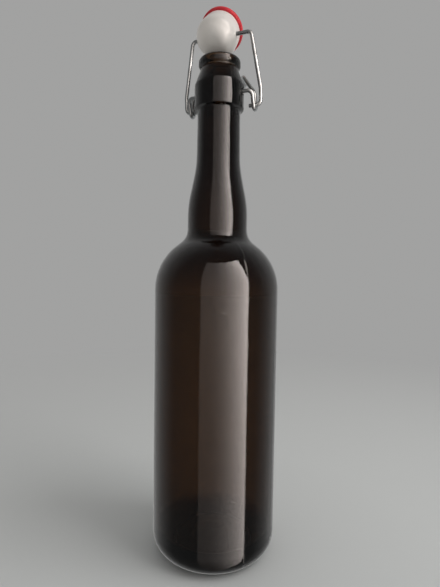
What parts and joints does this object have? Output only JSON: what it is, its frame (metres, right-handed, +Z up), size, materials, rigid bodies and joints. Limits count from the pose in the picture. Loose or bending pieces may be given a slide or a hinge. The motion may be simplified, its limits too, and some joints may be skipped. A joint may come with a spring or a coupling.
{
  "type": "swing top bottle",
  "caption": "Tall dark amber glass bottle with a long neck, closed by a white stopper with a red gasket on a wire yoke that a cranked wire lever pulls down.",
  "frame": {"origin": "centre of the base, on the surface that the bottle stands on", "axes": "+Z up along the bottle's axis, X along the pivot line of the closure, +Y towards the lever's thumb loop"},
  "size_m": [0.08, 0.08, 0.3534],
  "materials": {
    "amber_glass": "polished dark amber bottle glass",
    "lever_steel": "drawn galvanised wire",
    "yoke_steel": "drawn galvanised wire",
    "white_stopper": "glazed warm white",
    "red_rubber": "soft red rubber"
  },
  "bodies": {
    "bottle": {"glass_bottle": "amber_glass"},
    "lever": {"lever_wire": "lever_steel"},
    "yoke": {"yoke_wire": "yoke_steel"},
    "stopper": {"stopper_head": "white_stopper", "gasket": "red_rubber"}
  },
  "joints": [
    {"name": "lever_swing", "type": "hinge", "parent": "bottle", "child": "lever", "pos_m": [0, 0, 0.2975], "axis": [1, 0, 0], "range_deg": [-80, 0]},
    {"name": "yoke_swing", "type": "hinge", "parent": "lever", "child": "yoke", "pos_m": [0, 0.00623, 0.29025], "axis": [1, 0, 0], "range_deg": [-25, 8]},
    {"name": "stopper_tilt", "type": "hinge", "parent": "yoke", "child": "stopper", "pos_m": [0, 0.002, 0.33453], "axis": [1, 0, 0], "range_deg": [-40, 105]}
  ]
}
